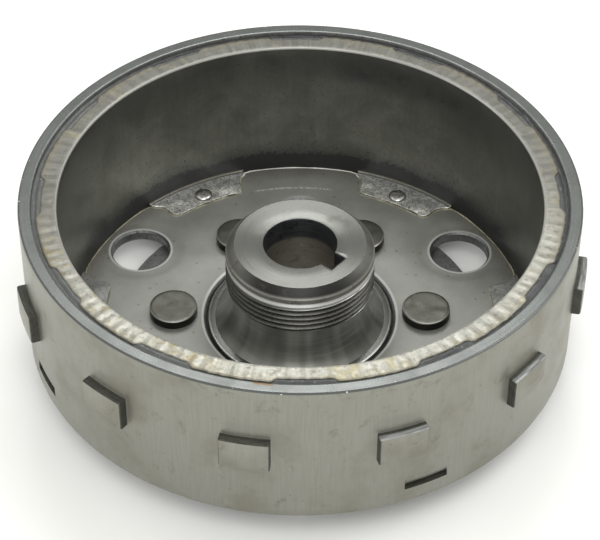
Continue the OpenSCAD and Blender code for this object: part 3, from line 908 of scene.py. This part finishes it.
def cup_floor(skin, top_ring, under_ring):
    """Floor with its centre hole, its dimpled holes and the holes of the rivets and pins."""
    dimple = ((3.4, 0), (2.6, 0.05), (1.5, 0.24), (0.7, 0.3))
    shallow = ((1.0, 0), (0.4, 0.08))
    holes = [(Vector((0, 0, 0)), CENTRE_HOLE_R, CENTRE_BEVEL, 180, ())]
    holes += [(at(pitch, turn, 0), r, HOLE_BEVEL, 64, dimple) for pitch, turn, r in HOLES]
    holes += [(at(pitch, turn, 0), r, HOLE_BEVEL, 48, shallow) for pitch, turn, r in PORTS]
    holes += [(rivet_spot(i), SHANK_R + FIT, 0, 32, ()) for i in range(RIVETS)]
    holes += [(pin_spot(i), PIN_SHANK_R + FIT, 0, 24, ()) for i in range(PINS)]
    loops = [hole_in_floor(skin, *hole) for hole in holes]
    skin.plate([top_ring] + [top for top, _ in loops], FLOOR)
    skin.plate([under_ring] + [bottom for _, bottom in loops], UNDER)


def make_cup():
    """Cup with its lugs, dents, rim and holes."""
    skin = Skin()
    angles = cup_angles()
    under_ring, wall_top = cup_outside(skin, angles)
    floor_ring = cup_inside(skin, angles, cup_rim(skin, angles, wall_top))
    cup_floor(skin, floor_ring, under_ring)
    materials = [wall_steel(), sheared_steel(), rim_steel(), floor_steel(), under_steel()]
    return skin.make("cup", materials, sharp=34)


# ---------------------------------------------------------------- hub

TOP, SIDE, THREAD, NECK, SHOULDER, BORE, BACK = range(7)
KEY_OUT = 16.5
KEY_IN = 12.2


def hub_angles():
    """Angles of the hub's columns: the keyway's corners and floor, the ears' edges, and even ones."""
    keep = [KEY_TURN]
    for side in (-1, 1):
        keep += [KEY_TURN + side * KEY_OUT]
        keep += [KEY_TURN + side * KEY_IN * part for part in (0.25, 0.5, 0.75, 1)]
        keep += [turn + side * (EAR_HALF + out) for turn in EAR_TURNS for out in (0, 0.3)]
    kept = {round(angle % 360, 4) for angle in keep}
    clear = KEY_OUT + 1.2
    return [a for a in even_angles(1.5, keep, 0.2) if abs(away(a, KEY_TURN)) > clear or round(a, 4) in kept]


def in_bore(radius, angle, z, wider=0.0):
    """Point on the bore's wall, or in the keyway where the angle lies in it."""
    offset = away(angle, KEY_TURN)
    if abs(offset) > KEY_OUT + 0.01:
        return at(radius + wider, angle, z)
    half = KEY_HALF_W + wider
    if abs(offset) > KEY_IN + 0.01:
        x, y = math.sqrt((radius + wider) ** 2 - half ** 2), math.copysign(half, offset)
    else:
        x, y = BORE_R + KEY_DEPTH + (HUB_Z - z) * TAPER + wider, half * offset / KEY_IN
    return Matrix.Rotation(math.radians(KEY_TURN), 3, "Z") @ Vector((x, y, z))


def thread_radius(angle, z):
    """Radius of the threaded part: a V-shaped screw that runs out into the collar and the neck."""
    phase = ((THREAD_HIGH_Z - z) / PITCH + angle / 360) % 1
    groove = min(max((0.5 - abs(phase - 0.5)) * 2.5 - 0.18, 0), 1)
    radius = THREAD_R - THREAD_DEPTH * groove
    radius = max(radius, LAND_R - 2.2 * max(THREAD_HIGH_Z + 0.25 - z, 0))
    return min(radius, NECK_R + 2.0 * max(z - THREAD_LOW_Z + 0.55, 0))


def flare_rows(steps):
    """The neck's flare: an arc that is upright at its top and reaches the foot at the shoulder."""
    rise = NECK_LOW_Z - SHOULDER_Z
    out = NECK_FOOT_R - NECK_R
    radius = (rise ** 2 + out ** 2) / (2 * out)
    whole = math.asin(rise / radius)
    for i in range(steps + 1):
        turn = whole * i / steps
        yield NECK_R + radius * (1 - math.cos(turn)), NECK_LOW_Z - radius * math.sin(turn)


def flange_radius(angle):
    """Radius of the hub's flange, out to its ears."""
    ear = min(abs(away(angle, turn)) for turn in EAR_TURNS)
    return EAR_R if ear <= EAR_HALF + 0.01 else FLANGE_R


def hub_bore(skin, angles):
    """Taper, straight bore and keyway; gives back the lowest ring and the one on the hub's top."""
    bore = [skin.ring([in_bore(BORE_R + SEAT_Z * TAPER, a, 0, 0.3) for a in angles])]
    for z in (0.3, 6, 12, 18, 22, SEAT_Z - 0.02):
        bore.append(skin.ring([in_bore(BORE_R + (SEAT_Z - z) * TAPER, a, z) for a in angles]))
    for z in (SEAT_Z + 0.1, 28, HUB_Z - 0.35):
        bore.append(skin.ring([in_bore(BORE_R, a, z) for a in angles]))
    bore.append(skin.ring([in_bore(BORE_R, a, HUB_Z - 0.1, 0.12) for a in angles]))
    skin.bands(bore, BORE)
    top_inner = skin.ring([in_bore(BORE_R, a, HUB_Z, 0.35) for a in angles])
    skin.band(bore[-1], top_inner, TOP)
    return bore[0], top_inner


def hub_thread(skin, angles, upper):
    """Screw thread below a ring; gives back its lowest ring."""
    rings = [upper]
    step = 0.09
    count = round((THREAD_HIGH_Z + 0.25 - THREAD_LOW_Z + 0.6) / step)
    for i in range(count + 1):
        z = THREAD_HIGH_Z + 0.25 - i * step
        rings.append(skin.ring([at(thread_radius(a, z), a, z) for a in angles]))
    skin.bands(rings, THREAD)
    return rings[-1]


def hub_flange(skin, angles, spigot_low, bore_low):
    """Flange with its ears and the countersunk holes of the rivets."""
    profile = ((0.3, UNDER_Z), (0, UNDER_Z - 0.3), (0, 0.4), (0.4, 0))
    rim = [skin.ring([at(flange_radius(a) - inset, a, z) for a in angles]) for inset, z in profile]
    skin.bands(rim, BACK)
    tops, bottoms = [rim[0], spigot_low], [rim[-1], bore_low]
    for i in range(RIVETS):
        centre = rivet_spot(i)
        sizes = ((SHANK_R + FIT, UNDER_Z), (SHANK_R + FIT, SINK_H), (SHANK_R + SINK_H + FIT, 0))
        hole = [skin.ring(circle(centre, r, z, 48)) for r, z in sizes]
        skin.bands(hole, BACK)
        tops.append(hole[0])
        bottoms.append(hole[-1])
    skin.plate(tops, BACK)
    skin.plate(bottoms, BACK)


def make_hub():
    """Hub from its bore over the top, down the outside and out to the flange."""
    skin = Skin()
    angles = hub_angles()
    bore_low, top_inner = hub_bore(skin, angles)
    top = [top_inner] + skin.turned(angles, (12.3, HUB_Z), (14, HUB_Z), (TOP_R, HUB_Z))
    skin.bands(top, TOP)
    side = [top[-1]] + skin.turned(
        angles, (TOP_R + 0.12, HUB_Z - 0.08), (LAND_R - 0.1, HUB_Z - CHAMFER),
        (LAND_R, HUB_Z - CHAMFER - 0.14), (LAND_R, RELIEF_Z + 0.32),
        (LAND_R - COLLAR_BEVEL, RELIEF_Z + 0.2), (LAND_R - COLLAR_BEVEL, RELIEF_Z - 0.05),
        (LAND_R - 0.05, RELIEF_Z - COLLAR_BEVEL), (LAND_R, RELIEF_Z - COLLAR_BEVEL - 0.08),
        (LAND_R, THREAD_HIGH_Z + 0.3)
    )
    skin.bands(side, SIDE)
    thread_low = hub_thread(skin, angles, side[-1])
    neck = [(NECK_R, (THREAD_LOW_Z + NECK_LOW_Z) / 2 - 0.3), *flare_rows(18)]
    neck = [thread_low] + skin.turned(angles, *neck)
    skin.bands(neck, NECK)
    shoulder = [neck[-1]] + skin.turned(
        angles, (SHOULDER_R - 0.4, SHOULDER_Z), (SHOULDER_R - 0.1, SHOULDER_Z - 0.12),
        (SHOULDER_R, SHOULDER_Z - 0.4), (SHOULDER_R, SPIGOT_Z + 0.6),
        (CENTRE_HOLE_R - FIT, SPIGOT_Z), (CENTRE_HOLE_R - FIT, UNDER_Z)
    )
    skin.bands(shoulder, SHOULDER)
    hub_flange(skin, angles, shoulder[-1], bore_low)
    bright = turned_steel()
    materials = [bright, hub_side(), thread_steel(), neck_steel(), bright, bore_steel(), under_steel()]
    return skin.make("hub_turned", materials, sharp=28)


# ---------------------------------------------------------------- rivets and pins

def dented(point, centre, seed):
    """The point moved in plan, unevenly round a rivet's flank."""
    outward = (point - centre).xy.normalized().to_3d()
    return point + outward * 0.06 * (waves((point.x, point.y, 0), 3, seed) - 0.5)


def make_rivet(index):
    """Rivet with a slightly crowned, uneven head and a flush tail."""
    skin = Skin()
    centre = rivet_spot(index)
    seat = FLOOR_Z + 0.01
    profile = [(0.3, 0), (3, 0.01), (SHANK_R + SINK_H - 0.02, 0.02), (SHANK_R, SINK_H), (SHANK_R, seat)]
    profile += [(RIVET_R - 0.15, seat), (RIVET_R, FLOOR_Z + 0.2)]
    crown = [(RIVET_R, 0.5), (RIVET_R - 0.08, 0.25), (RIVET_R - 0.3, 0.1), (RIVET_R - 0.6, 0.05), (5, 0.05)]
    crown += [(4, 0.05), (3, 0.06), (2, 0.07), (1, 0.08), (0.3, 0.08)]
    profile += [(r, RIVET_TOP - drop) for r, drop in crown]
    rings = []
    for r, z in profile:
        points = circle(centre, r, z, 64)
        if z > RIVET_TOP - 0.3:
            points = [p + Vector((0, 0, 0.05 * waves(p, 2.6, index + 1))) for p in points]
        elif z > FLOOR_Z + 0.1:
            points = [dented(p, centre, index) for p in points]
        rings.append(skin.ring(points))
    skin.bands(rings)
    skin.cap(rings[0])
    skin.cap(rings[-1])
    return skin.make("head_rivet_%d" % (index + 1), [rivet_steel(index)], centre)


def lopsided(point, centre, seed):
    """The point moved in and down a little, unevenly round the head."""
    inward = 0.03 * (1 + waves((point.x, point.y, 0), 1.6, seed + 9))
    x = point.x + (centre.x - point.x) * inward
    y = point.y + (centre.y - point.y) * inward
    return Vector((x, y, point.z - 0.08 + 0.1 * waves(point, 1.6, seed + 4)))


def make_pin(index, material):
    """Pin with a crushed, lopsided head."""
    skin = Skin()
    centre = pin_spot(index)
    head_z = FLOOR_Z + SHEET_T
    profile = [(0.3, UNDER_Z + 0.02), (PIN_SHANK_R, UNDER_Z + 0.02), (PIN_SHANK_R, head_z)]
    dome = [(0.96, 0), (1, 0.3), (0.97, 0.55), (0.85, 0.78), (0.6, 0.9), (0.3, 0.94)]
    profile += [(PIN_R * part, head_z + rise) for part, rise in dome] + [(0.2, head_z + 0.95)]
    rings = []
    for r, z in profile:
        points = circle(centre, r, z, 40)
        if z > head_z + 0.1:
            points = [lopsided(p, centre, index) for p in points]
        rings.append(skin.ring(points))
    skin.bands(rings)
    skin.cap(rings[0])
    skin.cap(rings[-1])
    return skin.make("staked_pin_%d" % (index + 1), [material], centre, sharp=50)


# ---------------------------------------------------------------- cover, resin and glue

CREAM, SOOT, FOOT = range(3)
STEP = 0.5
BEND_R = 0.5
BASE_Z = FLOOR_Z + SHEET_T + BEND_R
LIP_BEND = 0.6
LIP_Z = COVER_Z - 0.7


def flange_edge(angle):
    """Outer radius of the flange there: wide tabs with slanting, ragged edges."""
    off = min(abs(away(angle, TAB_TURN + i * 360 / TABS)) for i in range(TABS))
    ragged = 0.16 * waves(at(60, angle, 0), 1.2, 3) + 0.12 * waves(at(60, angle, 0), 3.5, 5)
    return LIP_R + (TAB_R - 0.25 - LIP_R) * blend(TAB_HALF + 1.6 - off, 0, 1.6) + ragged


def pleats(angle, out):
    """Height of the flange's radial pleats, growing outwards."""
    drift = 0.5 * waves(at(30, angle, 0), 6, 2)
    fold = math.sin(math.tau * (angle / 2.8125 + drift)) + 0.6 * waves(at(60, angle, 0), 2.2, 8)
    return fold * (0.02 + 0.045 * out)


def cover_wall_r(z):
    """Radius of the cover's wall, which opens a little towards the rim."""
    return COVER_LOW_R + (COVER_HIGH_R - COVER_LOW_R) * (z - FLOOR_Z) / (COVER_Z - SHEET_T - FLOOR_Z)


def foot_rows():
    """Rows of a foot from its free edge to the bend: radius, height and half width in degrees."""
    rows = []
    for i in range(6):
        turn = math.radians(i * 18)
        lost = FOOT_CORNER * (1 - math.sin(turn))
        r = FOOT_R + FOOT_CORNER * (1 - math.cos(turn))
        rows.append((r, FLOOR_Z + SHEET_T, FOOT_FREE_HALF - math.degrees(lost / r)))
    for r in (50.2, 50.8, 51.4, 52, 52.6, 53.2, 53.8, 54.4, 55, COVER_LOW_R - BEND_R):
        flare = (FOOT_HALF - FOOT_FREE_HALF) * blend(r, 51, 56) ** 2
        rows.append((r, FLOOR_Z + SHEET_T, FOOT_FREE_HALF + flare))
    for i in range(1, 4):
        turn = math.radians(i * 22.5)
        r = COVER_LOW_R - BEND_R + BEND_R * math.sin(turn)
        rows.append((r, FLOOR_Z + SHEET_T + BEND_R * (1 - math.cos(turn)), FOOT_HALF))
    return rows


def crumple(centre, half, r, angle, seed):
    """Height of the dents and the puffed corner that pressing left in a foot."""
    spot = at(r, angle, 0)
    puff = (spot - at(50.6, centre - half * 0.68, 0)).length
    kink = (spot - at(50.2, centre + half * 0.75, 0)).length
    height = 0.5 * blend(puff, 3.6, 0.6) - 0.16 * blend(kink, 2.4, 0.4)
    return height + 0.09 * (0.6 + waves(spot, 2.2, seed)) + 0.04 * waves(spot, 0.9, seed + 3)


def cover_collar(skin, angles, wall_top):
    """Lip above the wall and the pleated flange outside it."""
    lip = [wall_top]
    for i in range(1, 4):
        turn = math.radians(i * 30)
        r = COVER_HIGH_R + LIP_BEND * (1 - math.cos(turn))
        lip += skin.turned(angles, (r, LIP_Z + LIP_BEND * math.sin(turn)))
    skin.bands(lip, CREAM)
    flange = [lip[-1]]
    inner = COVER_HIGH_R + LIP_BEND
    for i in range(1, 9):
        out = i / 8
        flange.append(skin.ring([
            at(inner + (flange_edge(a) - inner) * out, a, COVER_Z - 0.14 + pleats(a, out) - 0.12 * out ** 3)
            for a in angles
        ]))
    skin.bands(flange, CREAM)


def stretch(ring, centre, half):
    """Vertices of a ring within half degrees of a direction."""
    first = round((centre - half) / STEP)
    return [ring[(first + i) % len(ring)] for i in range(round(2 * half / STEP) + 1)]


def hole_rows(skin, rows, pin):
    """Faces of a foot, but for those that the pin goes through."""
    for face in skin.bands(rows, FOOT, closed=False):
        spot = face.calc_center_median() / MM
        if math.hypot(spot.x - pin.x, spot.y - pin.y) < PIN_SHANK_R * 0.8:
            skin.bm.faces.remove(face)


def cover_foot_and_gap(skin, wall_low, index):
    """One foot, and the edge of the wall between it and the next."""
    centre = index * 360 / PINS
    rows = []
    for r, z, half in foot_rows():
        spots = [centre + half * (2 * k / (4 * FOOT_HALF) - 1) for k in range(round(4 * FOOT_HALF) + 1)]
        loose = blend(r, 55.5, 53)
        lifts = [0.03 + loose * crumple(centre, half, r, a, index) for a in spots]
        rows.append(skin.ring([at(r, a, z + lift) for a, lift in zip(spots, lifts)]))
    rows.append(stretch(wall_low, centre, FOOT_HALF))
    hole_rows(skin, rows, pin_spot(index))
    gap = stretch(wall_low, centre + 180 / PINS, 180 / PINS - FOOT_HALF)
    for z in (BASE_Z - 0.75, FLOOR_Z + 0.02):
        spots = [centre + FOOT_HALF + STEP * k for k in range(len(gap))]
        lower = skin.ring([at(cover_wall_r(z), a, z) for a in spots])
        skin.band(lower, gap, SOOT, closed=False)
        gap = lower


def make_cover():
    """Sheet cover: wall, flange and feet, thickened by a modifier."""
    skin = Skin()
    angles = [i * STEP for i in range(round(360 / STEP))]
    wall = []
    for i in range(15):
        z = BASE_Z + (LIP_Z - BASE_Z) * i / 14
        pushed = 0.14 * blend(z, BASE_Z, BASE_Z + 6) * blend(COVER_Z - z, 0.5, 5)
        wall.append(skin.ring([at(cover_wall_r(z) + pushed * waves(at(56, a, z), 9), a, z) for a in angles]))
    skin.bands(wall, SOOT)
    cover_collar(skin, angles, wall[-1])
    for i in range(PINS):
        cover_foot_and_gap(skin, wall[0], i)
    piece = skin.make("cover_sheet", [cover_flange(), cover_wall(), cover_foot()], sharp=60, closed=False)
    thick = piece.modifiers.new("sheet", "SOLIDIFY")
    thick.thickness = (SHEET_T - 0.04) * MM
    thick.offset = -1
    thick.use_even_offset = True
    return piece


def make_resin():
    """Ring of potting resin with an uneven top, drawn up at the shell."""
    skin = Skin()
    angles = [i * 0.75 for i in range(480)]
    inner = COVER_HIGH_R + SHEET_T + 0.1
    outer = WALL_R - 0.03
    rings = skin.turned(angles, (outer, RESIN_LOW_Z + 0.02), (inner, RESIN_LOW_Z + 0.02))
    for i in range(17):
        r = inner + (outer - inner) * i / 16
        top = []
        for a in angles:
            lumps = 0.16 * waves(at(r, a, 0), 2.4, 1) + 0.1 * waves(at(r, a, 0), 0.9, 2)
            under_flange = blend(flange_edge(a) + 0.5 - r, 0, 0.7)
            crawl = 0.25 * blend(r, outer - 0.7, outer) - 0.35 * blend(r, outer - 1.4, outer - 0.6)
            z = RESIN_Z - 0.12 + lumps * (1 - under_flange) + crawl - 0.12 * under_flange
            top.append(at(r, a, min(z, RIM_Z - 0.3)))
        rings.append(skin.ring(top))
    rings.append(rings[0])
    skin.bands(rings)
    return skin.make("potting_ring", [potting_resin()], sharp=60)


def glue_path():
    """Line along the foot of the cover's wall and round its feet."""
    path = []
    for i in range(PINS):
        centre = i * 360 / PINS
        sides = [(r, half) for r, _, half in reversed(foot_rows())]
        path += [at(r, centre - half - 0.15, FLOOR_Z) for r, half in sides[3:]]
        r, half = sides[-1]
        path += [at(r - 0.12, centre - half + 2 * half * k / 12, FLOOR_Z) for k in range(1, 12)]
        path += [at(r, centre + half + 0.15, FLOOR_Z) for r, half in reversed(sides[3:])]
        gap = 360 / PINS - 2 * FOOT_HALF
        path += [at(COVER_LOW_R - 0.1, centre + FOOT_HALF + gap * k / 16, FLOOR_Z) for k in range(1, 16)]
    return path


def make_glue():
    """Thin uneven bead that follows the glue path."""
    skin = Skin()
    path = glue_path()
    rings = []
    for i, spot in enumerate(path):
        along = (path[(i + 1) % len(path)] - path[i - 1]).normalized()
        across = Vector((-along.y, along.x, 0))
        size = 0.17 + 0.12 * waves(spot, 2.5, 6)
        corners = [math.radians(turn) for turn in range(0, 360, 45)]
        rings.append(skin.ring([spot + (across * math.cos(t) + UP * math.sin(t)) * size for t in corners]))
    skin.bands(rings + [rings[0]])
    return skin.make("glue_line", [old_glue()], sharp=80)


# ---------------------------------------------------------------- putting it together

def settle(piece, slot, *nodes):
    """Rides the piece on the rotor's one body and hides the CAD nodes that it stands for. Its slot argument
    is not used.
    """
    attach(piece, "root")
    if nodes:
        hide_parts(*nodes)


def repaint(node, material):
    """Gives a carried-over CAD node a procedural material."""
    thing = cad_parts[node]
    thing.data.materials.clear()
    thing.data.materials.append(material)


def build():
    """Every piece of the rotor, and the materials of the CAD nodes that stay."""
    settle(make_cup(), "shell_steel", "yoke_shell")
    settle(make_hub(), "hub_steel", "hub")
    pin_metal = pin_steel()
    for i in range(RIVETS):
        settle(make_rivet(i), "rivet_steel", "rivet_%d" % (i + 1))
    for i in range(PINS):
        settle(make_pin(i, pin_metal), "pin_steel", "cover_pin_%d" % (i + 1))
    settle(make_cover(), "cover_sheet", "magnet_cover")
    settle(make_resin(), "resin", "rim_resin")
    settle(make_glue(), "resin")
    magnet_black = ferrite()
    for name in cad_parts:
        if name.startswith("magnet_") and name[-1].isdigit():
            repaint(name, magnet_black)
    repaint("magnet_holder", holder_plastic())


# ---------------------------------------------------------------- studio

ELEVATION = 42.57
ROLL = -0.34
DISTANCE = 7.555 * CUP_R
RISE = -0.279 * CUP_R
LENS = 127.8


def make_camera():
    """Camera at the product picture's angle, in front of the rotor and above it."""
    lift = math.radians(ELEVATION)
    back = Vector((0, -math.cos(lift), math.sin(lift)))
    up = Vector((0, math.sin(lift), math.cos(lift)))
    right = Vector((1, 0, 0))
    turn = math.radians(ROLL)
    own_right = right * math.cos(turn) - up * math.sin(turn)
    own_up = right * math.sin(turn) + up * math.cos(turn)
    spot = Vector((0, 0, RIM_Z)) + back * DISTANCE + up * RISE
    camera = bpy.data.objects.new("camera", bpy.data.cameras.new("camera"))
    camera.data.lens = LENS
    camera.data.sensor_width = 36
    camera.data.clip_start = 0.01
    turned = Matrix((own_right, own_up, back)).transposed().to_4x4()
    camera.matrix_world = Matrix.Translation(spot * MM) @ turned
    bpy.context.collection.objects.link(camera)
    bpy.context.scene.camera = camera


def make_light(name, azimuth, elevation, distance, size, power):
    """Soft square light that looks at the rotor. Azimuth 0 is behind it, as the camera sees it."""
    data = bpy.data.lights.new(name, "AREA")
    data.size = size
    data.energy = power
    lamp = bpy.data.objects.new(name, data)
    turn, lift = math.radians(azimuth), math.radians(elevation)
    toward = Vector((math.sin(turn) * math.cos(lift), math.cos(turn) * math.cos(lift), math.sin(lift)))
    lamp.location = toward * distance + Vector((0, 0, RIM_Z * MM))
    lamp.rotation_euler = toward.to_track_quat("Z", "Y").to_euler()
    bpy.context.collection.objects.link(lamp)


def make_studio():
    """Pale floor, four soft lights and an even sky."""
    mesh = bpy.data.meshes.new("table")
    half = 3
    corners = [(-half, -half, 0), (half, -half, 0), (half, half, 0), (-half, half, 0)]
    mesh.from_pydata(corners, [], [(0, 1, 2, 3)])
    mesh.materials.append(table_top())
    table = bpy.data.objects.new("table", mesh)
    bpy.context.collection.objects.link(table)
    make_light("back_light", 0, 56, 1.1, 0.42, 3.4)
    make_light("front_light", 180, 55, 1.4, 0.9, 7)
    make_light("left_light", -95, 14, 1.3, 0.6, 2.9)
    make_light("right_light", 70, 48, 1.3, 0.7, 3.8)
    world = bpy.data.worlds.new("studio")
    world.use_nodes = True
    sky = world.node_tree.nodes["Background"].inputs
    sky["Color"].default_value = (1, 1, 0.955, 1)
    sky["Strength"].default_value = 0.85
    bpy.context.scene.world = world
    bpy.context.scene.view_settings.view_transform = "Standard"


make_camera()
build()
make_studio()

bpy.context.view_layer.update()
